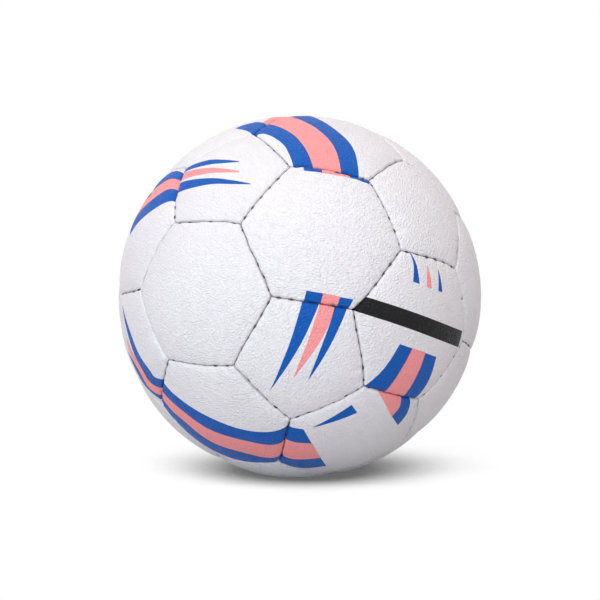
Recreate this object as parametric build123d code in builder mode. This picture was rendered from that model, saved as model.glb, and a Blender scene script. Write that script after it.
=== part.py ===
from build123d import *

import os
from itertools import combinations
from math import asin, cos, degrees, pi, radians, sin, sqrt

# A handball: panels of lined synthetic leather, stitched by hand edge to edge round an inflated bladder.
# The seams follow a truncated icosahedron: twelve pentagons, each with five hexagons round it.
# A panel of each kind is made once, with its axis along +Z, and copied to its places on the ball.
# Lengths are in millimetres. The origin is the ball's centre, and +Z is up as the ball lies.

# The ball
ball_circumference = 590.0  # a senior ball, measured over the crowns of its panels
ball_lie = (-66.99, 30.33, 80.64)  # degrees about X, Y and Z, from the seams' own axes to the ball's lie

# Panels
cover_thickness = 1.3  # synthetic leather on its backing
lining_thickness = 1.0  # woven plies
glue_film = 0.05  # between two layers that are bonded
seam_sink = 0.9  # how far the middle of a seam lies below the ball's sphere before its edges roll in
seam_roll = 2.8  # radius at which a panel's edge turns down into the seam
seam_room = 0.1  # between the two flanges of a seam
flange_width = 2.2  # from the end of the roll to the flange's rim
least_roll = 0.2

# Thread
thread_diameter = 0.8
thread_room = 0.05  # between the thread and the rolled edges that it lies on
thread_end_room = 2.4  # from the end of a seam's thread to the corner

# Bladder
bladder_wall = 0.9
bladder_room = 0.2  # between the bladder and what it presses on

# Valve boot
valve_hole_diameter = 8.6  # in the cover, the lining and the bladder
valve_room = 0.2  # round the stem in that hole
valve_recess = 0.8  # of the stem's end below the panel's crown
boot_flange_diameter = 26.0
boot_flange_thickness = 1.4
boot_length = 14.0  # from the stem's end to the barrel's inner end
boot_wall = 1.6
boot_taper = 0.5  # how much the barrel narrows on each side towards its inner end

# Valve core
core_length = 11.0
core_recess = 0.4  # of the core's end below the stem's
core_room = 0.05  # round the core in the boot
core_nose = 0.8  # chamfer at the core's inner end
bead_height = 0.4  # how far the core's bead stands out into the boot's groove
bead_length = 1.6
bead_share = 0.7  # how far down the core its bead is
needle_bore_diameter = 2.2
needle_bore_length = 5.0
needle_lead_diameter = 3.6  # mouth of the funnel that leads the needle in
needle_lead_depth = 0.8

overrun = 2.0  # how far a cut runs past what it cuts

# The seams' directions from the ball's centre
golden_share = (1 + sqrt(5)) / 2
pentagon_axes = [
    Vector(corner).normalized()
    for near in (-1, 1)
    for far in (-golden_share, golden_share)
    for corner in ((0, near, far), (near, far, 0), (far, 0, near))
]
neighbour_angle = min(one.get_angle(other) for one, other in combinations(pentagon_axes, 2))


def are_neighbours(axes):
    """Whether every two of these pentagons are as close as pentagons come."""
    return all(round(one.get_angle(other) - neighbour_angle) == 0 for one, other in combinations(axes, 2))


def seam_corner(near, far):
    """The corner of a pentagon that points at a neighbouring pentagon."""
    return (near * 2 + far).normalized()


pentagon_pairs = [pair for pair in combinations(pentagon_axes, 2) if are_neighbours(pair)]
hexagon_triples = [triple for triple in combinations(pentagon_axes, 3) if are_neighbours(triple)]
seams = [(seam_corner(one, other), seam_corner(other, one)) for one, other in pentagon_pairs]
for one, other, third in hexagon_triples:
    seams.append((seam_corner(one, other), seam_corner(one, third)))
    seams.append((seam_corner(other, third), seam_corner(other, one)))
    seams.append((seam_corner(third, one), seam_corner(third, other)))


def side_tilt(axis, seam):
    """The angle in radians between a panel's axis and the plane of one of its seams."""
    corner, next_corner = seam
    return asin(abs(axis.normalized().dot(corner.cross(next_corner).normalized())))


first, second, third = hexagon_triples[0]
pentagon_tilt = side_tilt(first, (seam_corner(first, second), seam_corner(first, third)))
hexagon_tilt = side_tilt(first + second + third, (seam_corner(first, second), seam_corner(second, first)))
seam_angle = seam_corner(first, second).get_angle(seam_corner(second, first))

# Places on the ball, from the top down
lie = Location((0, 0, 0), ball_lie)


def facing(axis, side):
    """The place of a piece whose own Z points along an axis and whose own X points to a side."""
    return lie * Plane((0, 0, 0), x_dir=side, z_dir=axis).location


def pointing(place):
    """The direction in which a piece at a place faces."""
    return (place * Pos(Z=1)).position


def from_the_top(places):
    return sorted(places, key=lambda place: pointing(place).Z, reverse=True)


pentagon_places = from_the_top(
    facing(axis, next(other for other in pentagon_axes if are_neighbours((axis, other))))
    for axis in pentagon_axes
)
hexagon_places = from_the_top(
    facing(one + other + third, seam_corner(one, other)) for one, other, third in hexagon_triples
)
seam_places = from_the_top(facing(corner + other, corner.cross(other)) for corner, other in seams)

# The valve goes through the hexagon that faces most away from the front
valve_place = max(hexagon_places, key=lambda place: pointing(place).Y)
plain_hexagon_places = [place for place in hexagon_places if place is not valve_place]

# Radii from the ball's centre, and depths below a panel's outer face, that the pieces share
ball_radius = ball_circumference / (2 * pi)
rim_radius = ball_radius - seam_sink - seam_roll - flange_width
core_radius = rim_radius / 2
lining_outside = cover_thickness + glue_film
lining_inside = lining_outside + lining_thickness
bladder_outside = lining_inside + bladder_room
bladder_inside = bladder_outside + bladder_wall


def crown_centre(tilt):
    """The height of the centre of a panel's dome, which sinks below the ball's sphere towards the seams."""
    edge_radius = ball_radius - seam_sink
    return (ball_radius**2 - edge_radius**2) / (2 * (ball_radius - edge_radius * cos(tilt)))


def seam_planes(sides, tilt, depth):
    """The planes of a panel's seams, facing out of the panel and moved in by a depth."""
    turns = [Rot(Z=(side + 0.5) * 360 / sides) * Rot(Y=degrees(tilt) + 90) for side in range(sides)]
    return [Plane(turn * Pos(Z=-depth)) for turn in turns]


def panel_form(sides, tilt, depth):
    """The space within a panel's outer faces, moved in by a depth, with its edges rolled over."""
    with BuildPart() as form:
        with Locations((0, 0, crown_centre(tilt))):
            Sphere(ball_radius - crown_centre(tilt) - depth, rotation=(90, 0, 0))
        for plane in seam_planes(sides, tilt, seam_room / 2 + depth):
            split(bisect_by=plane, keep=Keep.BOTTOM)
        Sphere(core_radius, rotation=(90, 0, 0), mode=Mode.SUBTRACT)
        corner_edges = form.edges().filter_by(GeomType.LINE)
        crown_edges = form.faces().sort_by(Axis.Z)[-1].edges()
        fillet(corner_edges + crown_edges, max(seam_roll - depth, least_roll))
    return form.part


def panel_layer(sides, tilt, outside, inside):
    """A panel's layer between two depths: a dome whose edge turns down into a flange along each seam."""
    with BuildPart() as layer:
        add(panel_form(sides, tilt, outside))
        Sphere(rim_radius, rotation=(90, 0, 0), mode=Mode.SUBTRACT)
        add(panel_form(sides, tilt, inside), mode=Mode.SUBTRACT)
    return layer.part


def with_valve_hole(layer):
    """A layer with the valve's hole through its crown."""
    with BuildPart() as pierced:
        add(layer)
        with Locations((0, 0, ball_radius)):
            Cylinder(valve_hole_diameter / 2, 2 * (bladder_inside + overrun), mode=Mode.SUBTRACT)
    return pierced.part


def save(piece, name):
    piece.label = name
    export_step(piece, f"parts/{name}.step")


os.makedirs("parts", exist_ok=True)

# Covers
pentagon_cover = panel_layer(5, pentagon_tilt, 0, cover_thickness)
hexagon_cover = panel_layer(6, hexagon_tilt, 0, cover_thickness)
for number, place in enumerate(pentagon_places, 1):
    save(pentagon_cover.moved(place), f"pentagon_panel_{number:02d}")
for number, place in enumerate(plain_hexagon_places, 1):
    save(hexagon_cover.moved(place), f"hexagon_panel_{number:02d}")
save(with_valve_hole(hexagon_cover).moved(valve_place), "valve_panel")

# Linings
pentagon_lining = panel_layer(5, pentagon_tilt, lining_outside, lining_inside)
hexagon_lining = panel_layer(6, hexagon_tilt, lining_outside, lining_inside)
save(Compound(children=[pentagon_lining.moved(place) for place in pentagon_places]), "pentagon_linings")
save(Compound(children=[hexagon_lining.moved(place) for place in plain_hexagon_places]), "hexagon_linings")
save(with_valve_hole(hexagon_lining).moved(valve_place), "valve_lining")

# Thread: along each seam a cord in the groove between the two rolled edges
thread_radius = thread_diameter / 2


def roll_radius_from_centre(tilt):
    """How far from the ball's centre the middle of a rolled edge's own arc lies, along the seam's plane."""
    centre = crown_centre(tilt)
    across = seam_room / 2 + seam_roll - centre * sin(tilt)
    return centre * cos(tilt) + sqrt((ball_radius - centre - seam_roll) ** 2 - across**2)


thread_seat = max(roll_radius_from_centre(tilt) for tilt in (pentagon_tilt, hexagon_tilt)) + sqrt(
    (seam_roll + thread_room + thread_radius) ** 2 - (seam_roll + seam_room / 2) ** 2
)
thread_angle = seam_angle - 2 * degrees(thread_end_room / thread_seat)
with BuildPart() as seam_cord:
    with BuildSketch(Plane.XZ.rotated((-thread_angle / 2, 0, 0))):
        with Locations((0, thread_seat)):
            Circle(thread_radius)
    revolve(axis=Axis.X, revolution_arc=thread_angle)
save(Compound(children=[seam_cord.part.moved(place) for place in seam_places]), "seam_thread")

# Bladder: it fits inside the flanges' rims and bulges out to the lining under each panel
bladder_crown = ball_radius - bladder_outside


def bulge_through(radius, angle):
    """A bulge from its crown to a point at an angle from its axis: its centre's height, and its radius."""
    centre = (bladder_crown**2 - radius**2) / (2 * (bladder_crown - radius * cos(angle)))
    return centre, bladder_crown - centre


def bladder_tile(sides, tilt, centre, radius):
    """The bladder's wall under a panel, out to the planes of the panel's seams."""
    with BuildPart() as tile:
        with Locations((0, 0, centre)):
            Sphere(radius, rotation=(90, 0, 0))
            Sphere(radius - bladder_wall, rotation=(90, 0, 0), mode=Mode.SUBTRACT)
        for plane in seam_planes(sides, tilt, 0):
            split(bisect_by=plane, keep=Keep.BOTTOM)
        Sphere(core_radius, mode=Mode.SUBTRACT)
    return tile.part


# A pentagon's bulge passes under the middle of its lining's rims, and a hexagon's meets it at the corners
rim_angle = asin((seam_room / 2 + lining_inside) / rim_radius)
pentagon_corner_angle = radians(first.get_angle(seam_corner(first, second)))
hexagon_corner_angle = radians((first + second + third).get_angle(seam_corner(first, second)))
pentagon_bulge, pentagon_bulge_radius = bulge_through(rim_radius - bladder_room, pentagon_tilt - rim_angle)
corner_radius = pentagon_bulge * cos(pentagon_corner_angle) + sqrt(
    pentagon_bulge_radius**2 - (pentagon_bulge * sin(pentagon_corner_angle)) ** 2
)
hexagon_bulge, hexagon_bulge_radius = bulge_through(corner_radius, hexagon_corner_angle)

with BuildPart() as bladder:
    with Locations(*pentagon_places):
        add(bladder_tile(5, pentagon_tilt, pentagon_bulge, pentagon_bulge_radius))
    with Locations(*hexagon_places):
        add(bladder_tile(6, hexagon_tilt, hexagon_bulge, hexagon_bulge_radius))
    with Locations(valve_place * Pos(Z=ball_radius)):
        Cylinder(valve_hole_diameter / 2, 2 * (bladder_inside + overrun), mode=Mode.SUBTRACT)
save(bladder.part, "bladder")

# Valve boot: a stem through the panel, a flange bonded inside the bladder and a barrel for the core
stem_radius = valve_hole_diameter / 2 - valve_room
stem_end = ball_radius - valve_recess
barrel_end = stem_end - boot_length
boot_bore_radius = stem_radius - boot_wall
core_end = stem_end - core_recess
bead_level = core_end - core_length * bead_share
boot_flange_radius = hexagon_bulge_radius - bladder_wall - glue_film

with BuildPart() as valve_boot:
    with Locations((0, 0, hexagon_bulge)):
        Sphere(boot_flange_radius)
        Sphere(boot_flange_radius - boot_flange_thickness, mode=Mode.SUBTRACT)
    with Locations((0, 0, ball_radius)):
        Cylinder(boot_flange_diameter / 2, ball_radius, mode=Mode.INTERSECT)
    with BuildSketch(Plane.XZ):
        with BuildLine():
            Polyline(
                (0, barrel_end),
                (stem_radius - boot_taper, barrel_end),
                (stem_radius, ball_radius - bladder_inside),
                (stem_radius, stem_end),
                (0, stem_end),
                close=True,
            )
        make_face()
    revolve(axis=Axis.Z)
    with BuildSketch(Plane.XZ):
        with BuildLine():
            groove_foot = (boot_bore_radius, bead_level - bead_length / 2 - core_room)
            groove_head = (boot_bore_radius, bead_level + bead_length / 2 + core_room)
            Polyline((0, barrel_end - overrun), (boot_bore_radius, barrel_end - overrun), groove_foot)
            ThreePointArc(groove_foot, (boot_bore_radius + bead_height, bead_level), groove_head)
            Polyline(groove_head, (boot_bore_radius, stem_end + overrun), (0, stem_end + overrun))
            Line((0, stem_end + overrun), (0, barrel_end - overrun))
        make_face()
    revolve(axis=Axis.Z, mode=Mode.SUBTRACT)
save(valve_boot.part.moved(valve_place), "valve_boot")

# Valve core: a plug with a bead, and a guide that leads the needle down to a slit, closed at rest
plug_radius = boot_bore_radius - core_room
plug_tip = core_end - core_length
needle_radius = needle_bore_diameter / 2
needle_bore_top = core_end - needle_lead_depth
needle_bore_end = needle_bore_top - needle_bore_length
with BuildPart() as valve_core:
    with BuildSketch(Plane.XZ):
        with BuildLine():
            bead_foot = (plug_radius, bead_level - bead_length / 2)
            bead_head = (plug_radius, bead_level + bead_length / 2)
            nose_foot = (plug_radius - core_nose, plug_tip)
            nose_head = (plug_radius, plug_tip + core_nose)
            Polyline((0, plug_tip), nose_foot, nose_head, bead_foot)
            ThreePointArc(bead_foot, (plug_radius + bead_height, bead_level), bead_head)
            Polyline(
                bead_head,
                (plug_radius, core_end),
                (needle_lead_diameter / 2, core_end),
                (needle_radius, needle_bore_top),
                (needle_radius, needle_bore_end),
                (0, needle_bore_end),
            )
            Line((0, needle_bore_end), (0, plug_tip))
        make_face()
    revolve(axis=Axis.Z)
save(valve_core.part.moved(valve_place), "valve_core")
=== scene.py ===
import math
from itertools import combinations

import bpy
import numpy as np
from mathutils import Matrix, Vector


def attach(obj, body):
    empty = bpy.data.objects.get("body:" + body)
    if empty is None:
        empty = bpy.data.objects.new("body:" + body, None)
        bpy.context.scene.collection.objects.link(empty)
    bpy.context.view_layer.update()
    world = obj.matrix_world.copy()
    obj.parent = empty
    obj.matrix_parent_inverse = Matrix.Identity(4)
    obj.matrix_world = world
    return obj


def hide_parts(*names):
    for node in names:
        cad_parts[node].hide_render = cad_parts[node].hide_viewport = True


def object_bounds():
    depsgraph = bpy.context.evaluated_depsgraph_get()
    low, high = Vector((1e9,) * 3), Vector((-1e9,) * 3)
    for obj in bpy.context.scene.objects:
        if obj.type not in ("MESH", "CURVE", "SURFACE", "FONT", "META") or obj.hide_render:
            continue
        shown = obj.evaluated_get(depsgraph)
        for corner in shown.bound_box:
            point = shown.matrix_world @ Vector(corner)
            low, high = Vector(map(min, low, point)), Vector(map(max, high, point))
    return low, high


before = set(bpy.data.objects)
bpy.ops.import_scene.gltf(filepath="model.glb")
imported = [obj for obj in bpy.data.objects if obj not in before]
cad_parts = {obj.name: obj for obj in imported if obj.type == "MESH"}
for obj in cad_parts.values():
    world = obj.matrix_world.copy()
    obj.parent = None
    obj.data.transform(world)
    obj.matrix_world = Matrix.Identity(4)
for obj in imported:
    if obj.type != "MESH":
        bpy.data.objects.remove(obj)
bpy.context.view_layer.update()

# A handball of stitched synthetic leather panels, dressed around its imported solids.
# Lengths named in millimetres are turned into metres where the meshes are made.

MM = 0.001
SEED = 7

# The photograph's camera
PHOTO_SIZE = 600
SENSOR_WIDTH = 36.0
FOCAL_PIXELS = 1164.9
BALL_PIXEL = (299.23, 296.31)  # where the ball's centre lies in the photograph
OUTLINE_CENTRE = (299.6, 297.0)
OUTLINE_RADIUS = 181.8
CAMERA_ELEVATION = 0.0  # level with the ball's centre
CAMERA_DISTANCE_SHARE = 6.48516  # in ball radii
BEYOND_OUTLINE = 4.0  # radians past the outline for each outline radius that a pixel lies outside it

# Panels, in millimetres
COVER_THICKNESS = 1.3
LINING_THICKNESS = 1.0
LINING_ROLL = 0.1
GLUE_FILM = 0.05
SEAM_ROOM = 0.03  # from a seam's plane to each of its two flanges
EDGE_ROLL = 1.3  # radius at which a panel's edge turns down into the seam
CROWN_SINK = 0.35  # how far a panel's edges lie below its crown's sphere
EDGE_SINK = 0.9  # how far they sink more, close to the seam
EDGE_REACH = 4.0
CORNER_BLEND = 6.0  # how sharply the nearest seam outdoes the others
LEAST_DISTANCE = 0.01
CORNER_STEEPNESS = 3.0  # how steeply the pit where three seams meet goes down
FLANGE_RIM = 5.9  # depth of the flanges' rims below the crown
FIRST_ROW = 0.05  # the mesh's rows, from the seam inwards
ROW_GROWTH = 1.25
WIDEST_ROW = 1.3
PRINTED_ROW = 0.45  # the widest row of a panel with a print
COARSE_STEP = 4  # how many rows of the outside share one of the inside

# Seams, in millimetres
STITCHES = 6
STITCH_STRAY = 0.4  # how far a stitch lies from its even place
STITCH_STRENGTHS = (0.4, 1.3)  # the weakest and the strongest stitch of a seam
SEAM_STRENGTHS = (0.5, 1.1)  # what all the stitches of a seam are multiplied by
STITCH_LENGTH = 0.95
STITCH_OPENING = 0.26
OPENING_REACH = 1.2
STITCH_PULL = 0.28
STITCH_REACH = 2.4
PULL_PARTS = 3  # a stitch's pull spreads along the seam over its pitch divided by this
WRINKLE_PULL = 0.1
WRINKLE_REACH = 7.0
WRINKLE_PARTS = 4
SEAM_BOW = 0.45
SEAM_BOW_REACH = 5.0
RIPPLES = 7  # half waves of the finer bow along a seam
RIPPLE_SHARE = 0.4
UNEVEN = 0.48
UNEVEN_WAVES = 24
UNEVEN_SPREAD = 5.0  # of the waves' turns along each axis, in radians for each ball radius
SHEET_SPACING = 70.0  # keeps the grain of one panel apart from the next's

THREAD_RADIUS = 0.36
THREAD_HIGH = 1.85
THREAD_LOW = 3.0
THREAD_END = 2.6
THREAD_SIDES = 8
THREAD_STEPS = 72
THREAD_PLY_SHARE = 0.16
THREAD_TWIST = 1.1  # turns for each stitch
THREAD_RISE = 1.14  # how far along the seam the thread comes up at a stitch

BLADDER_DEPTH = 2.6
BLADDER_WALL = 0.9
BLADDER_SINK = 4.7
BLADDER_REACH = 6.0
BLADDER_SHOULDER = 4  # how sharply the bladder turns down to its dips
BLADDER_ROWS = 14

VALVE_HOLE_RADIUS = 4.3
VALVE_DIMPLE = 0.35
VALVE_DIMPLE_REACH = 7.0

# Decimals to which points are rounded where the same ones are looked for
GRID_DECIMALS = 7
MATCH_DECIMALS = 6
BLADDER_DECIMALS = 4
TINY = 1e-12  # stands in for zero where something is divided by it


def unit(vectors):
    """Vectors of length one, along the last axis."""
    vectors = np.asarray(vectors, float)
    return vectors / np.linalg.norm(vectors, axis=-1, keepdims=True)


def node_points(name):
    """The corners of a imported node's mesh, in metres."""
    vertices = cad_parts[name].data.vertices
    points = np.empty(len(vertices) * 3, np.float32)
    vertices.foreach_get("co", points)
    return points.reshape(-1, 3).astype(float)


# The seams' layout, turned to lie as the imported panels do
pentagon_nodes = sorted(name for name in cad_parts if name.startswith("pentagon_panel"))
hexagon_nodes = sorted(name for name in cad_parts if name.startswith("hexagon_panel")) + ["valve_panel"]
node_axes = {name: unit(node_points(name).mean(0)) for name in pentagon_nodes + hexagon_nodes}
BALL_RADIUS = max(np.linalg.norm(node_points(name), axis=1).max() for name in pentagon_nodes) / MM

GOLDEN = (1 + math.sqrt(5)) / 2
own_pentagons = unit([
    corner
    for near in (-1, 1)
    for far in (-GOLDEN, GOLDEN)
    for corner in ((0, near, far), (near, far, 0), (far, 0, near))
])
NEIGHBOUR_COSINE = np.sort(own_pentagons[0] @ own_pentagons.T)[-2]
COSINE_ROOM = 0.01
SAME_AXIS = 1 - COSINE_ROOM
SAME_CORNER = 1 - 1e-6


def neighbours(axes):
    """Whether every two of these pentagons lie side by side."""
    return all(one @ other > NEIGHBOUR_COSINE - COSINE_ROOM for one, other in combinations(axes, 2))


def basis(one, other):
    """Three square directions from two axes."""
    third = unit(np.cross(one, other))
    return np.stack([one, np.cross(third, one), third], axis=1)


def found_turn():
    """The rotation from the layout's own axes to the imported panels'."""
    found = np.array([node_axes[name] for name in pentagon_nodes])
    nearest = found[np.argsort(found[0] @ found.T)[-2]]
    own_nearest = own_pentagons[np.argsort(own_pentagons[0] @ own_pentagons.T)[-2]]
    turn = basis(found[0], nearest) @ basis(own_pentagons[0], own_nearest).T
    matched = found[(own_pentagons @ turn.T @ found.T).argmax(1)]
    left, _, right = np.linalg.svd(matched.T @ own_pentagons)
    return left @ np.diag([1, 1, np.linalg.det(left @ right)]) @ right


pentagons = own_pentagons @ found_turn().T


class Panel:
    """One panel: its axis, its corners in order, and flat directions for measuring on it."""

    def __init__(self, axis, corners, names):
        self.axis = unit(axis)
        self.across = unit(corners[0] - (corners[0] @ self.axis) * self.axis)
        self.up = np.cross(self.axis, self.across)
        turn = [math.atan2(corner @ self.up, corner @ self.across) for corner in corners]
        self.corners = np.array(corners)[np.argsort(turn)]
        self.sides = len(corners)
        self.seams = []  # filled once all panels are known
        self.node = max(names, key=lambda name: node_axes[name] @ self.axis)

    def flat(self, directions):
        """Where directions from the ball's centre meet the plane on the panel's crown, in millimetres."""
        heights = directions @ self.axis
        aside = np.stack([directions @ self.across, directions @ self.up], -1)
        return aside / heights[..., None] * BALL_RADIUS

    def directions(self, flat_points):
        """The directions from the ball's centre to points on that plane."""
        x, y = (flat_points / BALL_RADIUS).T
        return unit(self.axis + x[:, None] * self.across + y[:, None] * self.up)

    def apothem(self):
        """The angle from the panel's axis to its seams' planes."""
        return math.asin(abs(self.axis @ self.seams[0].normal))


def seam_corner(near, far):
    """The corner of a pentagon that points at a neighbouring pentagon."""
    return unit(2 * near + far)


panels = []
for axis in pentagons:
    around = [other for other in pentagons if other @ axis < SAME_AXIS and neighbours((axis, other))]
    panels.append(Panel(axis, [seam_corner(axis, other) for other in around], pentagon_nodes))
for triple in combinations(pentagons, 3):
    if neighbours(triple):
        corners = [seam_corner(one, other) for one in triple for other in triple if one is not other]
        panels.append(Panel(sum(triple), corners, hexagon_nodes))


class Seam:
    """A seam between two panels, with its own uneven stitches and its slight bow."""

    def __init__(self, number, first, second, corner, next_corner):
        random = np.random.default_rng(SEED + number)
        self.first = first
        self.middle = unit(corner + next_corner)
        self.normal = unit(np.cross(corner, next_corner))
        self.normal *= np.sign(self.normal @ second.axis)
        self.along = np.cross(self.middle, self.normal)
        self.length = BALL_RADIUS * math.acos(corner @ next_corner)
        self.pitch = self.length / STITCHES
        self.places = (np.arange(STITCHES) + 0.5) * self.pitch - self.length / 2
        self.places += random.uniform(-STITCH_STRAY, STITCH_STRAY, STITCHES)
        self.strengths = random.uniform(*STITCH_STRENGTHS, STITCHES) * random.uniform(*SEAM_STRENGTHS)
        self.bows = random.uniform(-SEAM_BOW, SEAM_BOW, 3)

    def measure(self, directions):
        """How far directions lie along the seam, and to the second panel's side of it."""
        along = BALL_RADIUS * np.arctan2(directions @ self.along, directions @ self.middle)
        aside = BALL_RADIUS * np.arcsin(np.clip(directions @ self.normal, -1, 1))
        return along, aside

    def stitched(self, along, length):
        """From 0 between the stitches to about 1 on one."""
        offsets = (along[..., None] - self.places) / length
        return (self.strengths * np.exp(-offsets**2)).sum(-1)

    def bow(self, along):
        """How far the seam lies to the second panel's side of its plane."""
        turn = np.pi * np.clip(along / self.length + 0.5, 0, 1)
        waves = self.bows[0] * np.sin(turn) + self.bows[1] * np.sin(2 * turn)
        return waves + RIPPLE_SHARE * self.bows[2] * np.sin(RIPPLES * turn)


seams = {}
for one, other in combinations(range(len(panels)), 2):
    shared = [
        corner
        for corner in panels[one].corners
        if (panels[other].corners @ corner).max() > SAME_CORNER
    ]
    if len(shared) == 2:
        seams[one, other] = Seam(len(seams), panels[one], panels[other], *shared)
for number, panel in enumerate(panels):
    panel.seams = [seam for pair, seam in seams.items() if number in pair]

uneven_random = np.random.default_rng(SEED)
uneven_waves = uneven_random.normal(0, UNEVEN_SPREAD, (UNEVEN_WAVES, 3))
uneven_phases = uneven_random.uniform(0, 2 * np.pi, UNEVEN_WAVES)


def unevenness(directions):
    """A slight swell and dip of the ball's surface, in millimetres."""
    return UNEVEN * np.sin(directions @ uneven_waves.T + uneven_phases).mean(-1)


# Meshes of panels: a kite from the centre to each corner, with rows that crowd towards the seams
def row_places(apothem, widest):
    """Places from 0 at a panel's centre to 1 at its seam."""
    rows = [0.0]
    step = FIRST_ROW
    while rows[-1] + step < apothem:
        rows.append(rows[-1] + step)
        step = min(step * ROW_GROWTH, widest)
    while len(rows) % COARSE_STEP:
        rows.pop()
    return 1 - np.append(rows, apothem)[::-1] / apothem


def kite_grid(sides, places):
    """A polygon with sides at 1 from its centre: points, faces, and which points are on its sides."""
    turn = 2 * np.pi / sides
    reach = 1 / math.cos(turn / 2)
    a, b = np.meshgrid(places, places, indexing="ij")
    points = []
    faces = []
    count = len(places)
    cell = np.arange(count * count).reshape(count, count)
    quads = np.stack([cell[:-1, :-1], cell[1:, :-1], cell[1:, 1:], cell[:-1, 1:]], -1).reshape(-1, 4)
    for number in range(sides):
        corner = reach * np.array([math.cos(number * turn), math.sin(number * turn)])
        after = np.array([math.cos((number + 0.5) * turn), math.sin((number + 0.5) * turn)])
        before = np.array([math.cos((number - 0.5) * turn), math.sin((number - 0.5) * turn)])
        spread = [(a * (1 - b), before), ((1 - a) * b, after), (a * b, corner)]
        points.append(sum(weight[..., None] * place for weight, place in spread).reshape(-1, 2))
        faces.append(quads + number * count * count)
    points = np.concatenate(points)
    rounded = np.round(points, GRID_DECIMALS) + 0.0  # turns minus zero into zero
    _, first, joined = np.unique(rounded, axis=0, return_index=True, return_inverse=True)
    on_side = np.tile(((a == 1) | (b == 1)).ravel(), sides)[first]
    return points[first], joined.ravel()[np.concatenate(faces)], on_side


def with_hole(points, faces, on_side, radius):
    """A grid with a round hole at its centre."""
    distance = np.linalg.norm(points, axis=1)
    kept = faces[(distance[faces] > radius).all(1)]
    used = np.unique(kept)
    renumber = np.zeros(len(points), int)
    renumber[used] = np.arange(len(used))
    kept = renumber[kept]
    rim = [vertex for vertex in set(sum(free_edges(kept), ())) if not on_side[used][vertex]]
    moved = points[used].copy()
    moved[rim] *= radius / np.linalg.norm(moved[rim], axis=1, keepdims=True)
    return moved, kept, on_side[used]


def free_edges(faces):
    """The edges that only one face has, in that face's direction."""
    edges = np.stack([faces, np.roll(faces, -1, axis=1)], -1).reshape(-1, 2)
    size = faces.max() + 1
    matched = np.isin(edges @ [size, 1], edges @ [1, size])
    return [tuple(edge) for edge in edges[~matched].tolist()]


def loops_of(edges):
    """Closed loops of vertices, from loose edges."""
    following = dict(edges)
    loops = []
    while following:
        start, vertex = following.popitem()
        loop = [start]
        while vertex != start:
            loop.append(vertex)
            vertex = following.pop(vertex)
        loops.append(loop)
    return loops


def shell(outer, outer_faces, inner, inner_faces, above):
    """Points and faces of a closed shell. Along an edge each inner point lies under an outer one."""
    start = len(outer)
    faces = outer_faces.tolist() + (inner_faces[:, ::-1] + start).tolist()
    outer_loops = loops_of(free_edges(outer_faces))
    for loop in loops_of(free_edges(inner_faces)):
        over = next(other for other in outer_loops if above[loop[0]] in other)
        place = {vertex: number for number, vertex in enumerate(over)}
        for vertex, following in zip(loop, loop[1:] + loop[:1]):
            first, last = place[above[vertex]], place[above[following]]
            if last <= first:
                last += len(over)
            span = [over[number % len(over)] for number in range(first, last + 1)]
            faces.append(span[::-1] + [vertex + start, following + start])
    return np.concatenate([outer, inner]), faces


def side_measures(panel, directions, inset):
    """Each seam's distance, the place along it and the side that the panel is on."""
    distances, places, signs = [], [], []
    for seam in panel.seams:
        along, aside = seam.measure(directions)
        sign = -1 if seam.first is panel else 1
        distances.append(sign * aside - inset)
        places.append(along)
        signs.append(sign)
    return np.array(distances), places, signs


def panel_layer(panel, grid, inset, depth, roll, stitched=True):
    """Points of one face of a panel, in millimetres: its crown, its rolled edge and its flange's rim."""
    points, _, on_side = grid
    apothem = panel.apothem()
    flat = points * BALL_RADIUS * math.tan(apothem - inset / BALL_RADIUS)
    directions = panel.directions(flat)
    distances, places, signs = side_measures(panel, directions, inset)
    distances = np.maximum(distances, 0)
    dome = (np.linalg.norm(flat, axis=1) / (BALL_RADIUS * math.tan(apothem))) ** 2
    nearness = ((distances + LEAST_DISTANCE) ** -CORNER_BLEND).sum(0) ** (-1 / CORNER_BLEND)
    over = np.sqrt((np.maximum(roll - distances, 0) ** 2).sum(0))
    rolled = roll - np.sqrt(np.maximum(roll**2 - np.minimum(over, roll) ** 2, 0))
    rolled += CORNER_STEEPNESS * np.maximum(over - roll, 0)
    heights = BALL_RADIUS - depth - rolled - CROWN_SINK * dome - EDGE_SINK * np.exp(-nearness / EDGE_REACH)
    heights += unevenness(directions)
    shift = np.zeros_like(directions)
    for seam, distance, along, sign in zip(panel.seams, distances, places, signs):
        bowed = seam.bow(along) * np.exp(-distance / SEAM_BOW_REACH)
        shift += bowed[:, None] * seam.normal
        if stitched:
            opened = STITCH_OPENING * seam.stitched(along, STITCH_LENGTH) * np.exp(-distance / OPENING_REACH)
            shift += opened[:, None] * sign * seam.normal
            pulled = seam.stitched(along, seam.pitch / PULL_PARTS)
            wrinkled = seam.stitched(along, seam.pitch / WRINKLE_PARTS)
            heights -= STITCH_PULL * pulled * np.exp(-distance / STITCH_REACH)
            heights -= WRINKLE_PULL * wrinkled * np.exp(-distance / WRINKLE_REACH)
    if panel.node == "valve_panel":
        reach = np.linalg.norm(flat, axis=1) / VALVE_DIMPLE_REACH
        heights -= VALVE_DIMPLE * np.exp(-reach**2)
    heights[on_side] = BALL_RADIUS - FLANGE_RIM
    return unit(directions + shift / BALL_RADIUS) * heights[:, None]


def rounded_points(grid):
    """A grid's points, rounded so that another grid's same points are found among them."""
    return [tuple(point) for point in np.round(grid[0], MATCH_DECIMALS).tolist()]


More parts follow.
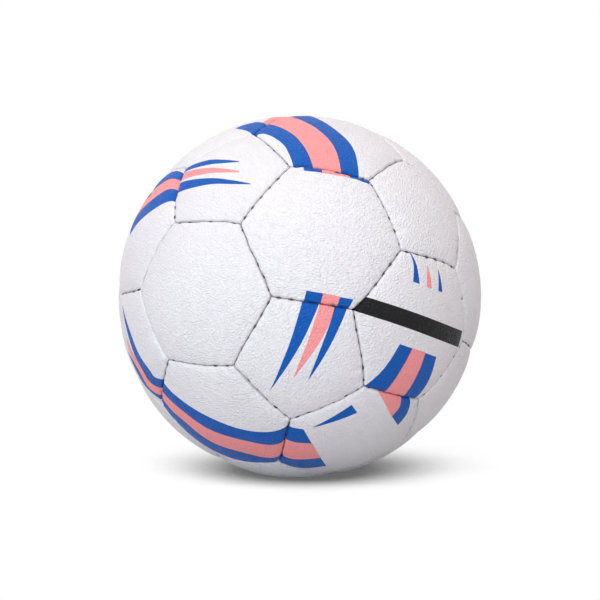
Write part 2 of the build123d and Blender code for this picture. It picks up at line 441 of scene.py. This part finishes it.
def panel_grids(panel, coarse_outside=False):
    """The grids of a panel's outside and inside, and which outer point each inner point lies under."""
    apothem = BALL_RADIUS * math.tan(panel.apothem())
    places = row_places(apothem, PRINTED_ROW if stripes_on(panel) else WIDEST_ROW)
    coarse = places[::COARSE_STEP]
    if panel.node == "valve_panel":
        kind = coarse if coarse_outside else places
        grid = with_hole(*kite_grid(panel.sides, kind), VALVE_HOLE_RADIUS / apothem)
        return grid, grid, np.arange(len(grid[0]))
    outer = kite_grid(panel.sides, coarse if coarse_outside else places)
    inner = kite_grid(panel.sides, coarse)
    numbers = {point: number for number, point in enumerate(rounded_points(outer))}
    return outer, inner, [numbers[point] for point in rounded_points(inner)]


def add_piece(name, points, faces, material, nodes):
    """A mesh piece from points in millimetres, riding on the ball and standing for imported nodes."""
    mesh = bpy.data.meshes.new(name)
    mesh.from_pydata((points * MM).tolist(), [], faces)
    mesh.polygons.foreach_set("use_smooth", [True] * len(mesh.polygons))
    mesh.materials.append(material)
    mesh.update()
    piece = bpy.data.objects.new(name, mesh)
    bpy.context.scene.collection.objects.link(piece)
    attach(piece, "root")
    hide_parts(*nodes)
    return piece


# Prints: stripes read from the photograph, each between two edges
def camera_frame():
    """The camera's right, up and backward directions."""
    sine, cosine = math.sin(CAMERA_ELEVATION), math.cos(CAMERA_ELEVATION)
    return np.array([[1, 0, 0], [0, sine, cosine], [0, -cosine, sine]])


def on_ball(pixels):
    """The directions from the ball's centre to the photograph's pixels on it, or past its outline."""
    pixels = np.asarray(pixels, float)
    x = (pixels[:, 0] - BALL_PIXEL[0]) / FOCAL_PIXELS
    y = (BALL_PIXEL[1] - pixels[:, 1]) / FOCAL_PIXELS
    rays = unit(np.stack([x, y, -np.ones_like(x)], -1))
    start = np.array([0, 0, CAMERA_DISTANCE_SHARE])
    nearest = -rays @ start
    short = 1 - (start @ start - nearest**2)
    hits = start + (nearest - np.sqrt(np.maximum(short, 0)))[:, None] * rays
    beyond = np.linalg.norm(pixels - OUTLINE_CENTRE, axis=1) / OUTLINE_RADIUS - 1
    past = np.where(short < 0, BEYOND_OUTLINE * np.maximum(beyond, 0), 0)
    outward = unit(hits * [1, 1, 0])
    tilt = np.arctan2(hits[:, 2], np.linalg.norm(hits[:, :2], axis=1)) - past
    local = np.where(
        (short < 0)[:, None],
        outward * np.cos(tilt)[:, None] + np.sin(tilt)[:, None] * np.array([0, 0, 1]),
        unit(hits),
    )
    return local @ camera_frame()


def panel_at(pixel):
    """The panel that a pixel of the photograph lies on."""
    direction = on_ball([pixel])
    return max(panels, key=lambda panel: side_measures(panel, direction, 0)[0].min())


def smooth_line(points, steps=10):
    """A smooth line through a few points."""
    points = np.asarray(points, float)
    if len(points) == 2:
        return points
    padded = np.concatenate([[2 * points[0] - points[1]], points, [2 * points[-1] - points[-2]]])
    share = np.linspace(0, 1, steps, endpoint=False)[:, None]
    spans = []
    for before, start, end, after in zip(padded, padded[1:], padded[2:], padded[3:]):
        slope_in, slope_out = (end - before) / 2, (after - start) / 2
        lift = 3 * (end - start) - 2 * slope_in - slope_out
        bend = slope_in + slope_out - 2 * (end - start)
        spans.append(start + share * (slope_in + share * (lift + share * bend)))
    return np.concatenate(spans + [points[-1:]])


BAND = ("blue", "coral", "blue")
NO_INK = 50.0  # the distance, in millimetres, where a panel lacks an ink

# A pixel on each printed panel
FRONT = (330, 245)
TOP = (375, 150)
TOP_LEFT = (247, 130)
UPPER_LEFT = (230, 200)
LEFT = (155, 225)
LOWER_LEFT = (135, 325)
BELOW_LEFT = (210, 390)
BELOW = (330, 400)
RIGHT = (440, 345)
BOTTOM = (345, 432)

# Three stripes side by side: the four edges of each set
BANDS = [
    (TOP, [
        [(240, 137), (262, 132), (281, 141.5), (290, 155), (296, 174)],
        [(242, 119), (265, 121.5), (290, 132), (305, 147.5), (317, 173)],
        [(258, 108), (292, 116.4), (318, 129.5), (335, 148), (343.5, 176)],
        [(270, 104), (312, 116.2), (337, 131), (354, 149.5), (361, 180)],
    ]),
    (LEFT, [
        [(190, 174), (176, 169.8), (167, 173), (158, 182), (150, 196)],
        [(190, 181), (172, 178), (161, 183.5), (150, 194), (141, 206)],
        [(190, 192), (172, 188), (160, 193.5), (143, 208), (134, 220)],
        [(188, 204), (171, 200), (154, 209), (139, 222), (130, 235)],
    ]),
    (FRONT, [
        [(306.5, 290.5), (301, 313)],
        [(323.3, 293.3), (318.5, 315)],
        [(340.5, 297), (334.5, 317)],
        [(354, 299.5), (345, 317)],
    ]),
    (RIGHT, [
        [(400, 344), (389.5, 361.5), (377, 377), (356, 396)],
        [(412.5, 348.5), (404.5, 364), (393, 383), (377, 405)],
        [(425.5, 353), (419.5, 370), (410, 389), (397, 409)],
        [(436.5, 357), (431, 376), (422, 393), (406, 411)],
    ]),
    (BELOW_LEFT, [
        [(148, 370), (175, 395.5), (205, 415), (240, 429), (272, 432.5), (298, 424)],
        [(146, 379), (175, 405), (210, 429.5), (250, 442), (277, 445.6), (296, 436)],
        [(146, 384), (170, 409.5), (180, 418), (210, 441.3), (245, 453.4), (275, 459), (292, 448)],
        [(147, 393), (175, 423.5), (205, 447), (240, 462.5), (266, 467), (290, 456)],
    ]),
    (BOTTOM, [
        [(280, 427), (292, 429.3), (303.5, 430.3)],
        [(276, 438), (292, 443), (312, 444.2)],
        [(272, 454), (288, 459.5), (303, 460.2), (320.7, 458.3)],
        [(270, 462), (293, 468.6), (308, 469), (326.7, 466.4)],
    ]),
]

# Stripes by themselves: the panel, the ink and the two edges
STRIPES = [
    (TOP_LEFT, "blue", [(280, 127), (262, 121.2), (247, 123.5), (235, 128)],
     [(264, 142), (250, 131), (235, 128)]),
    (TOP_LEFT, "coral", [(262, 121.2), (275, 115), (292, 108)], [(262, 121.2), (271, 123), (280, 127)]),
    (FRONT, "blue", [(302, 157), (321.5, 160)], [(304, 169.5), (322.5, 171.6)]),
    (FRONT, "coral", [(321.5, 160), (348, 164)], [(322.5, 171.6), (350, 176.2)]),
    (FRONT, "blue", [(348, 164), (376, 175)], [(351, 176.4), (370, 182.6)]),
    (UPPER_LEFT, "blue", [(172, 177), (186, 166.3), (208, 159.8), (224, 159.6), (239, 160.9)],
     [(170, 178), (186, 170), (208, 164.6), (224, 163), (239, 161.8)]),
    (UPPER_LEFT, "coral", [(168, 177), (190, 170.2), (210, 168), (225, 169), (239, 171.1)],
     [(168, 184), (190, 176.4), (210, 172.8), (225, 172.1), (239, 172)]),
    (UPPER_LEFT, "blue", [(168, 185), (186, 180), (212, 178), (233, 180.2), (250.5, 183.2)],
     [(166, 194), (190, 188), (212, 184), (233, 184), (250.5, 184.1)]),
    (BELOW, "blue", [(304, 296), (297.3, 319), (290.6, 340.5), (282.3, 362), (276, 377.5), (268.9, 392.8)],
     [(322.5, 297), (312.5, 320), (302.8, 340.5), (290.5, 361.5), (279.6, 377.5), (268.9, 392.8)]),
    (BELOW, "coral", [(323, 297), (316.5, 317), (306, 347.5), (294, 377.3)],
     [(338.5, 299), (333, 315.5), (319, 343), (294, 377.3)]),
    (BELOW, "blue", [(338, 298), (331.5, 319.5), (322.6, 343.5), (315, 363), (307.3, 382)],
     [(351.5, 300), (343.2, 319.5), (331.5, 343.5), (320.2, 363), (307.3, 382)]),
    (RIGHT, "black", [(335, 286), (367, 296.7), (415, 312.7), (463.5, 331.3)],
     [(335, 304), (352, 310), (405, 327.2), (459.7, 347.7)]),
    (RIGHT, "blue", [(410.5, 247), (414.3, 264), (413.5, 281.7)], [(410.5, 247), (417.5, 265), (420, 284)]),
    (RIGHT, "coral", [(428.5, 266), (428, 276), (427.8, 287)], [(428.5, 266), (430.6, 276), (431.8, 288.2)]),
    (RIGHT, "blue", [(439, 267.5), (439.2, 279), (438.7, 291)],
     [(439, 267.5), (441.3, 279), (442.8, 292.5)]),
    (BOTTOM, "coral", [(376, 386), (392, 416.5)], [(405, 388), (402, 402), (399, 409), (392, 416.5)]),
    (BOTTOM, "blue", [(405, 388), (402, 402), (399, 409), (392, 416.5)],
     [(413, 388), (411, 404), (407, 414.5), (398, 425.5)]),
    (BOTTOM, "blue", [(311, 429), (352, 405.5)], [(311, 429), (357.5, 413)]),
    (LOWER_LEFT, "blue",
     [(121.5, 305), (125.6, 325.7), (133.4, 352.5), (142.3, 370.4), (150.6, 383.7), (165, 393)],
     [(121.5, 305), (128, 325.7), (137.9, 352.5), (149, 370.4), (155, 378.5), (168, 383)]),
    (LOWER_LEFT, "coral", [(126.5, 337), (129.6, 352.5), (138.4, 370.4), (148.2, 388.2), (165, 402)],
     [(126.5, 337), (132.4, 352.5), (143, 370.4), (153, 385.5), (168, 393)]),
    (LOWER_LEFT, "blue", [(127, 350), (135.5, 370.4), (145.6, 388.2), (165, 407)],
     [(127, 350), (138.4, 370.4), (148.2, 388.2), (165, 402)]),
]
for place, edges in BANDS:
    for ink, edge, next_edge in zip(BAND, edges, edges[1:]):
        STRIPES.append((place, ink, edge, next_edge))

stripe_panels = {place: panel_at(place) for place in {stripe[0] for stripe in STRIPES}}

# The unseen half repeats the seen half, turned half round about an axis square to the front panel's
front_panel = panel_at(FRONT)
view_direction = camera_frame()[2]
pair_axes = unit([one + other for one, other in combinations(pentagons, 2) if neighbours((one, other))])
square_axes = pair_axes[np.abs(pair_axes @ front_panel.axis) < COSINE_ROOM]
half_turn_axis = min(square_axes, key=lambda axis: abs(axis @ view_direction))
half_turn = 2 * np.outer(half_turn_axis, half_turn_axis) - np.eye(3)


def stripes_on(panel):
    """The stripes printed on a panel: their inks and outlines in the panel's flat millimetres."""
    partner = max(panels, key=lambda other: other.axis @ half_turn @ panel.axis)
    turned = partner.axis @ view_direction > panel.axis @ view_direction
    source = partner if turned else panel
    found = []
    for place, ink, edge, next_edge in STRIPES:
        if stripe_panels[place] is source:
            outline = on_ball(np.concatenate([smooth_line(edge), smooth_line(next_edge)[::-1]]))
            found.append((ink, panel.flat(outline @ half_turn if turned else outline)))
    return found


def signed_distance(points, outline):
    """How far points lie outside a closed outline, below zero inside it."""
    nearest = np.full(len(points), np.inf)
    inside = np.zeros(len(points), bool)
    for start, end in zip(outline, np.roll(outline, -1, axis=0)):
        line = end - start
        share = np.clip((points - start) @ line / max(line @ line, TINY), 0, 1)
        nearest = np.minimum(nearest, np.linalg.norm(points - start - share[:, None] * line, axis=1))
        crosses = (start[1] > points[:, 1]) != (end[1] > points[:, 1])
        reach = start[0] + (points[:, 1] - start[1]) * line[0] / (line[1] if line[1] else TINY)
        inside ^= crosses & (points[:, 0] < reach)
    return np.where(inside, -nearest, nearest)


def print_inks(panel, piece, points):
    """Stores each ink's distance from its stripes on a panel's mesh."""
    flat = panel.flat(points)
    stripes = stripes_on(panel)
    for ink in ("blue", "coral", "black"):
        distance = np.full(len(points), NO_INK)
        for stripe_ink, outline in stripes:
            if stripe_ink == ink:
                distance = np.minimum(distance, signed_distance(flat, outline))
        attribute = piece.data.attributes.new("ink_" + ink, "FLOAT", "POINT")
        attribute.data.foreach_set("value", distance.astype(np.float32))


def lay_rim(panel, piece, points):
    """Stores how far each place on a panel lies from its nearest seam, in millimetres."""
    distances = side_measures(panel, unit(points), 0)[0].min(0)
    attribute = piece.data.attributes.new("rim", "FLOAT", "POINT")
    attribute.data.foreach_set("value", distances.astype(np.float32))


def lay_hide(number, panel, piece, points):
    """Stores places on the sheet that a panel was cut from, in millimetres along and across its grain."""
    angle = np.random.default_rng(SEED + number).uniform(0, np.pi)
    turn = np.array([[math.cos(angle), -math.sin(angle)], [math.sin(angle), math.cos(angle)]])
    flat = panel.flat(points) @ turn
    hide = np.column_stack([flat, np.full(len(points), number * SHEET_SPACING)])
    attribute = piece.data.attributes.new("hide", "FLOAT_VECTOR", "POINT")
    attribute.data.foreach_set("vector", hide.astype(np.float32).ravel())


# Materials
class Shader:
    """A material and short calls for its nodes."""

    def __init__(self, name):
        self.material = bpy.data.materials.new(name)
        self.material.use_nodes = True
        self.tree = self.material.node_tree
        self.surface = self.tree.nodes["Principled BSDF"]

    def finished(self, shade, roughness, normal):
        """The material, once its surface has a colour, a roughness and a relief."""
        self.fill(self.surface, {"Base Color": shade, "Roughness": roughness, "Normal": normal})
        return self.material

    def node(self, kind, inputs=(), **settings):
        """A new node with its settings, and with values or other nodes' sockets on its inputs."""
        made = self.tree.nodes.new("ShaderNode" + kind)
        for name, value in settings.items():
            setattr(made, name, value)
        self.fill(made, dict(inputs))
        return made

    def fill(self, node, inputs):
        """Sets or links a node's inputs."""
        for name, value in inputs.items():
            if isinstance(value, bpy.types.NodeSocket):
                self.tree.links.new(value, node.inputs[name])
            else:
                node.inputs[name].default_value = value

    def math(self, operation, first, second=0.0, third=0.0):
        """A sum, product or other simple rule."""
        inputs = {0: first, 1: second, 2: third}
        return self.node("Math", inputs, operation=operation).outputs[0]

    def spread(self, value, low, high, to_low=0.0, to_high=1.0):
        """A value spread from one range to another and kept within it."""
        inputs = {"Value": value, "From Min": low, "From Max": high, "To Min": to_low, "To Max": to_high}
        return self.node("MapRange", inputs).outputs[0]

    def mix(self, share, first, second, blend="MIX"):
        """A mix of two colours."""
        made = self.node("Mix", {0: share, 6: first, 7: second}, data_type="RGBA", blend_type=blend)
        return made.outputs[2]

    def vector_math(self, operation, *vectors):
        """A sum, product or other simple rule for vectors."""
        return self.node("VectorMath", enumerate(vectors), operation=operation).outputs[0]

    def noise(self, place, scale, detail=2.0):
        """Noise between about 0 and 1."""
        return self.node("TexNoise", {"Vector": place, "Scale": scale, "Detail": detail}).outputs[0]

    def bump(self, height, depth, strength=1.0):
        """A normal that follows a height of 0 to 1, for a depth in millimetres."""
        return self.node("Bump", {"Height": height, "Strength": strength, "Distance": depth * MM}).outputs[0]


def colour(red, green, blue):
    """A screen colour, 255 for white, as the linear colour of a shader."""
    def linear(value):
        share = value / 255
        return share / 12.92 if share <= 0.04045 else ((share + 0.055) / 1.055) ** 2.4
    return (linear(red), linear(green), linear(blue), 1.0)


NOISE_RANGE = (0.3, 0.7)  # where most values of a noise lie

# The leather's colours. Inks and the painted seam shade are multiplied into its white, so an ink may pass
# 255
LEATHER_TONES = (colour(233, 231, 234), colour(237, 235, 238))
INKS = {"coral": colour(272, 172, 170), "blue": colour(0, 98, 193), "black": colour(14, 14, 16)}
INK_EDGE = 0.05  # half the width, in millimetres, over which an ink fades out
INK_OVERLAP = {"coral": 0.22, "blue": 0.0, "black": 0.0}  # how far an ink runs past its outline
# A grey painted into the leather close to each seam, standing in for the shade in its crease
SEAM_SHADE_TINT = colour(212, 210, 214)
SEAM_SHADE_REACH = 0.5  # how far from a seam, in millimetres, the shade is painted on the leather

# The leather's grain and gloss. Scales are for each millimetre of its sheet
TONE_SCALE = 0.04
GLOSS_SCALE = 0.2
LEATHER_ROUGHNESS = (0.42, 0.54)
LEATHER_SHINE = 0.2
WANDER_SCALE = 0.4
WANDER = (1.6, 1.6, 0.0)  # how far the grain strays, in millimetres
DRAWN = (0.85, 1.25, 1.0)  # how the grain is drawn out along the sheet
PEBBLE_SCALE = 0.58
PEBBLE_EDGE = 0.32
CHANNEL_SCALE = 0.45
CHANNEL_EDGE = 0.14
FINE_SCALE = 3.4
PEBBLE_SHARE = 0.65
CHANNEL_SHARE = 0.35
FINE_SHARE = 0.12
GRAIN_DEPTH = 0.38  # in millimetres

# The thread, the linings and the rubber. Scales are for each metre, depths in millimetres
THREAD_TONES = (colour(52, 50, 54), colour(84, 82, 88))
FIBRE_SCALE = 4200.0
FIBRE_DEPTH = 0.08
THREAD_ROUGHNESS = 0.7
LINING_TONES = (colour(176, 170, 156), colour(222, 217, 204))
YARN_SCALE = 420.0
YARN_WANDER = 0.6
YARN_DEPTH = 0.15
LINING_ROUGHNESS = 0.85
RUBBER_DEPTH = 0.1
RUBBER_ROUGHNESS_SPREAD = 0.08
# Each rubber part's two tones, the scale of its skin and its roughness
RUBBERS = {
    "bladder": ((colour(58, 54, 52), colour(78, 73, 70)), 900.0, 0.6),
    "valve_boot": ((colour(60, 60, 64), colour(78, 78, 82)), 1500.0, 0.5),
    "valve_core": ((colour(26, 26, 28), colour(40, 40, 42)), 1800.0, 0.45),
}


def leather_material():
    """White grained synthetic leather with printed stripes and painted shade along its seams."""
    shader = Shader("cover_leather")
    hide = shader.node("Attribute", attribute_name="hide").outputs["Vector"]
    wander = shader.node("TexNoise", {"Vector": hide, "Scale": WANDER_SCALE, "Detail": 2.0}).outputs[1]
    offset = shader.vector_math("SUBTRACT", wander, (0.5, 0.5, 0.5))
    nudged = shader.vector_math("MULTIPLY_ADD", offset, WANDER, hide)
    drawn = shader.vector_math("MULTIPLY", nudged, DRAWN)
    cells = shader.node("TexVoronoi", {"Vector": drawn, "Scale": PEBBLE_SCALE}, feature="DISTANCE_TO_EDGE")
    pebble = shader.spread(cells.outputs[0], 0.0, PEBBLE_EDGE)
    worms = shader.math("ABSOLUTE", shader.math("SUBTRACT", shader.noise(drawn, CHANNEL_SCALE), 0.5))
    channel = shader.spread(worms, 0.0, CHANNEL_EDGE)
    fine = shader.noise(hide, FINE_SCALE)
    height = shader.math("MULTIPLY", pebble, PEBBLE_SHARE)
    height = shader.math("MULTIPLY_ADD", channel, CHANNEL_SHARE, height)
    height = shader.math("MULTIPLY_ADD", fine, FINE_SHARE, height)
    tone = shader.spread(shader.noise(hide, TONE_SCALE, detail=3.0), *NOISE_RANGE)
    shade = shader.mix(tone, *LEATHER_TONES)
    for ink, dye in INKS.items():
        distance = shader.node("Attribute", attribute_name="ink_" + ink).outputs["Fac"]
        edge = INK_OVERLAP[ink]
        covered = shader.spread(distance, edge - INK_EDGE, edge + INK_EDGE, 1.0, 0.0)
        shade = shader.mix(covered, shade, dye, "MULTIPLY")
    # Painted shade: the leather is darkened in a narrow band along each seam, where its crease would be
    # shaded
    rim = shader.node("Attribute", attribute_name="rim").outputs["Fac"]
    seam_shaded = shader.spread(rim, SEAM_SHADE_REACH, 0.0, 0.0, 1.0)
    shade = shader.mix(seam_shaded, shade, SEAM_SHADE_TINT, "MULTIPLY")
    gloss = shader.spread(shader.noise(hide, GLOSS_SCALE), *NOISE_RANGE, *LEATHER_ROUGHNESS)
    shader.fill(shader.surface, {"Specular IOR Level": LEATHER_SHINE})
    return shader.finished(shade, gloss, shader.bump(height, GRAIN_DEPTH))


def thread_material():
    """Dark waxed polyester thread."""
    shader = Shader("seam_thread_fibre")
    place = shader.node("TexCoord").outputs["Object"]
    fibres = shader.noise(place, FIBRE_SCALE, detail=3.0)
    shade = shader.mix(shader.spread(fibres, *NOISE_RANGE), *THREAD_TONES)
    return shader.finished(shade, THREAD_ROUGHNESS, shader.bump(fibres, FIBRE_DEPTH, strength=0.6))


def lining_material():
    """Woven polyester and cotton plies."""
    shader = Shader("lining_weave")
    place = shader.node("TexCoord").outputs["Object"]
    yarns = {"Vector": place, "Scale": YARN_SCALE, "Distortion": YARN_WANDER}
    warp = shader.node("TexWave", yarns, bands_direction="X").outputs[1]
    weft = shader.node("TexWave", yarns, bands_direction="Z").outputs[1]
    weave = shader.math("MAXIMUM", warp, weft)
    shade = shader.mix(weave, *LINING_TONES)
    return shader.finished(shade, LINING_ROUGHNESS, shader.bump(weave, YARN_DEPTH, strength=0.8))


def rubber_material(part):
    """Moulded rubber with a fine matt skin."""
    tones, scale, roughness = RUBBERS[part]
    smoothest, roughest = roughness - RUBBER_ROUGHNESS_SPREAD, roughness + RUBBER_ROUGHNESS_SPREAD
    shader = Shader(part + "_rubber")
    place = shader.node("TexCoord").outputs["Object"]
    skin = shader.noise(place, scale, detail=4.0)
    shade = shader.mix(shader.spread(skin, *NOISE_RANGE), *tones)
    gloss = shader.spread(skin, *NOISE_RANGE, smoothest, roughest)
    return shader.finished(shade, gloss, shader.bump(skin, RUBBER_DEPTH, strength=0.35))


# The covers
leather = leather_material()
for number, panel in enumerate(panels):
    outer, inner, above = panel_grids(panel)
    outside = panel_layer(panel, outer, SEAM_ROOM, 0, EDGE_ROLL)
    inset = SEAM_ROOM + COVER_THICKNESS
    inside = panel_layer(panel, inner, inset, COVER_THICKNESS, EDGE_ROLL - COVER_THICKNESS, stitched=False)
    points, faces = shell(outside, outer[1], inside, inner[1], above)
    cover = add_piece(panel.node + "_cover", points, faces, leather, [panel.node])
    print_inks(panel, cover, points)
    lay_hide(number, panel, cover, points)
    lay_rim(panel, cover, points)


# The linings, bonded under the covers
def lining_shell(panel):
    """One panel's lining as a closed shell."""
    grid, _, _ = panel_grids(panel, coarse_outside=True)
    top = COVER_THICKNESS + GLUE_FILM
    foot = top + LINING_THICKNESS
    outside = panel_layer(panel, grid, SEAM_ROOM + top, top, EDGE_ROLL - COVER_THICKNESS, stitched=False)
    inside = panel_layer(panel, grid, SEAM_ROOM + foot, foot, LINING_ROLL, stitched=False)
    return shell(outside, grid[1], inside, grid[1], np.arange(len(grid[0])))


def joined(shells):
    """Several shells as one set of points and faces."""
    points, faces = [], []
    for shell_points, shell_faces in shells:
        start = sum(len(part) for part in points)
        points.append(shell_points)
        faces += [[vertex + start for vertex in face] for face in shell_faces]
    return np.concatenate(points), faces


weave = lining_material()
lining_groups = {
    "pentagon_linings": [panel for panel in panels if panel.sides == 5],
    "hexagon_linings": [panel for panel in panels if panel.sides == 6 and panel.node != "valve_panel"],
    "valve_lining": [panel for panel in panels if panel.node == "valve_panel"],
}
for node, group in lining_groups.items():
    points, faces = joined([lining_shell(panel) for panel in group])
    add_piece(node + "_cloth", points, faces, weave, [node])


# The bladder, which bulges into each lining and dips under the flanges
def bladder_tile(panel):
    """The bladder's outside under one panel."""
    apothem = panel.apothem()
    grid = kite_grid(panel.sides, np.linspace(0, 1, BLADDER_ROWS))
    if panel.node == "valve_panel":
        grid = with_hole(*grid, VALVE_HOLE_RADIUS / BALL_RADIUS / math.tan(apothem))
    points, faces, _ = grid
    directions = panel.directions(points * BALL_RADIUS * math.tan(apothem))
    distances, _, _ = side_measures(panel, directions, 0)
    nearness = np.maximum(distances, 0).min(0)
    dips = BLADDER_SINK / (1 + (nearness / BLADDER_REACH) ** BLADDER_SHOULDER)
    heights = BALL_RADIUS - BLADDER_DEPTH - dips
    return directions * heights[:, None], faces


tiles = joined([(points, faces.tolist()) for points, faces in map(bladder_tile, panels)])
rounded = np.round(tiles[0], BLADDER_DECIMALS)
_, first, merged = np.unique(rounded, axis=0, return_index=True, return_inverse=True)
bladder_outside = tiles[0][first]
bladder_faces = merged.ravel()[np.array(tiles[1])]
bladder_inside = bladder_outside - BLADDER_WALL * unit(bladder_outside)
points, faces = shell(
    bladder_outside, bladder_faces, bladder_inside, bladder_faces, np.arange(len(bladder_outside))
)
add_piece("bladder_skin", points, faces, rubber_material("bladder"), ["bladder"])


# The thread, which comes up at each stitch and goes down between them
def thread_tube(seam):
    """Points and faces of one seam's twisted thread."""
    along = np.linspace(-1, 1, THREAD_STEPS) * (seam.length / 2 - THREAD_END)
    up = np.minimum(seam.stitched(along, THREAD_RISE), 1)
    heights = BALL_RADIUS - THREAD_LOW + (THREAD_LOW - THREAD_HIGH) * up
    angles = along / BALL_RADIUS
    bow = seam.bow(along) / BALL_RADIUS
    line = unit(np.cos(angles)[:, None] * seam.middle + np.sin(angles)[:, None] * seam.along
                + bow[:, None] * seam.normal)
    centres = line * heights[:, None]
    around = np.linspace(0, 2 * np.pi, THREAD_SIDES, endpoint=False)
    twist = 2 * np.pi * THREAD_TWIST * along / seam.pitch
    lobes = THREAD_RADIUS * (1 + THREAD_PLY_SHARE * np.cos(2 * (around - twist[:, None])))
    ring = np.cos(around)[:, None, None] * line + np.sin(around)[:, None, None] * seam.normal
    points = (centres + lobes.T[..., None] * ring).transpose(1, 0, 2).reshape(-1, 3)
    faces = []
    for step in range(THREAD_STEPS - 1):
        for side in range(THREAD_SIDES):
            following = (side + 1) % THREAD_SIDES
            corner, next_corner = step * THREAD_SIDES + side, step * THREAD_SIDES + following
            faces.append([corner, next_corner, next_corner + THREAD_SIDES, corner + THREAD_SIDES])
    faces.append(list(range(THREAD_SIDES))[::-1])
    faces.append(list(range(len(points) - THREAD_SIDES, len(points))))
    return points, faces


points, faces = joined([thread_tube(seam) for seam in seams.values()])
add_piece("seam_thread_cord", points, faces, thread_material(), ["seam_thread"])

# The valve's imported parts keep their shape
for node in ("valve_boot", "valve_core"):
    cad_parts[node].data.materials.clear()
    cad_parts[node].data.materials.append(rubber_material(node))


# The camera
def add_camera():
    """A camera where the photograph's stood."""
    camera = bpy.data.objects.new("photo_camera", bpy.data.cameras.new("photo_camera"))
    bpy.context.scene.collection.objects.link(camera)
    backward = Vector(camera_frame()[2])
    camera.location = backward * (CAMERA_DISTANCE_SHARE * BALL_RADIUS * MM)
    camera.rotation_mode = "QUATERNION"
    camera.rotation_quaternion = (-backward).to_track_quat("-Z", "Y")
    camera.data.sensor_width = SENSOR_WIDTH
    camera.data.lens = FOCAL_PIXELS / PHOTO_SIZE * SENSOR_WIDTH
    camera.data.shift_x = 0.5 - BALL_PIXEL[0] / PHOTO_SIZE
    camera.data.shift_y = BALL_PIXEL[1] / PHOTO_SIZE - 0.5
    bpy.context.scene.camera = camera


add_camera()

# The floor, the light and the white surroundings
WHITE = (1.0, 1.0, 1.0, 1.0)
FLOOR_HALF = 6.0  # in metres, as the shadow's reach
FLOOR_BOUNCE = 0.58  # how much of the light the floor throws back on the ball
FLOOR_FACES = (-0.18, -1.22, 1.0)  # the direction from which the floor's seen light comes
SHADOW_REACH = 1.0
SHADOW_OPEN = (0.38, 0.67)  # how open to the light the floor is at the shadow's core and at its edge
SHADOW_CORE = 0.14  # how bright the core of the shadow is
SKY_LIGHT = 0.435
SKY_COLOUR = (1.0, 0.88, 0.93, 1.0)
SUN_ANGLE = math.radians(70)
# Each soft light's direction, strength and colour
LIGHTS = {
    "front_light": ((-0.32, -0.92, 0.22), 2.97, (0.79, 0.9, 0.98)),
    "top_light": ((0.0, -0.2, 0.98), 1.15, (1.0, 0.885, 0.735)),
}


def seen_directly(shader_tree):
    """A socket that is 1 where the camera, a gloss or a clear surface sees this directly."""
    path = shader_tree.nodes.new("ShaderNodeLightPath")
    share = path.outputs["Is Camera Ray"]
    for name in ("Is Glossy Ray", "Is Transmission Ray"):
        most = shader_tree.nodes.new("ShaderNodeMath")
        most.operation = "MAXIMUM"
        shader_tree.links.new(share, most.inputs[0])
        shader_tree.links.new(path.outputs[name], most.inputs[1])
        share = most.outputs[0]
    return share


def add_floor():
    """A white floor under the ball, with the ball's soft shadow on it."""
    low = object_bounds()[0].z
    mesh = bpy.data.meshes.new("floor")
    corners = [(x * FLOOR_HALF, y * FLOOR_HALF, low) for x, y in ((-1, -1), (1, -1), (1, 1), (-1, 1))]
    mesh.from_pydata(corners, [], [(0, 1, 2, 3)])
    floor = bpy.data.objects.new("floor", mesh)
    bpy.context.scene.collection.objects.link(floor)
    shader = Shader("floor_white")
    faces = shader.vector_math("NORMALIZE", FLOOR_FACES)
    open_share = shader.node("AmbientOcclusion", {"Distance": SHADOW_REACH, "Normal": faces}).outputs["AO"]
    seen = shader.node("Emission", {"Strength": shader.spread(open_share, *SHADOW_OPEN, SHADOW_CORE, 1.0)})
    bounced = shader.node("BsdfDiffuse", {"Color": (FLOOR_BOUNCE, FLOOR_BOUNCE, FLOOR_BOUNCE, 1.0)})
    inputs = {0: seen_directly(shader.tree), 1: bounced.outputs[0], 2: seen.outputs[0]}
    surface = shader.node("MixShader", inputs).outputs[0]
    shader.tree.links.new(surface, shader.tree.nodes["Material Output"].inputs["Surface"])
    shader.tree.nodes.remove(shader.surface)
    mesh.materials.append(shader.material)


def add_sky():
    """Even light from all round, seen as white."""
    world = bpy.data.worlds.new("studio")
    bpy.context.scene.world = world
    world.use_nodes = True
    tree = world.node_tree
    background = tree.nodes["Background"]
    tint = tree.nodes.new("ShaderNodeMix")
    tint.data_type = "RGBA"
    tint.inputs[6].default_value = SKY_COLOUR
    tint.inputs[7].default_value = WHITE
    seen = seen_directly(tree)
    tree.links.new(seen, tint.inputs[0])
    tree.links.new(tint.outputs[2], background.inputs["Color"])
    strength = tree.nodes.new("ShaderNodeMapRange")
    strength.inputs["To Min"].default_value = SKY_LIGHT
    strength.inputs["To Max"].default_value = 1.0
    tree.links.new(seen, strength.inputs["Value"])
    tree.links.new(strength.outputs[0], background.inputs["Strength"])


def add_lights():
    """Wide soft lights from the front left and from above."""
    for name, (direction, strength, tint) in LIGHTS.items():
        sun = bpy.data.lights.new(name, "SUN")
        sun.energy = strength
        sun.angle = SUN_ANGLE
        sun.color = tint
        lamp = bpy.data.objects.new(name, sun)
        bpy.context.scene.collection.objects.link(lamp)
        lamp.rotation_mode = "QUATERNION"
        lamp.rotation_quaternion = (-Vector(direction)).to_track_quat("-Z", "Y")


add_floor()
add_sky()
add_lights()
bpy.context.scene.view_settings.view_transform = "Standard"
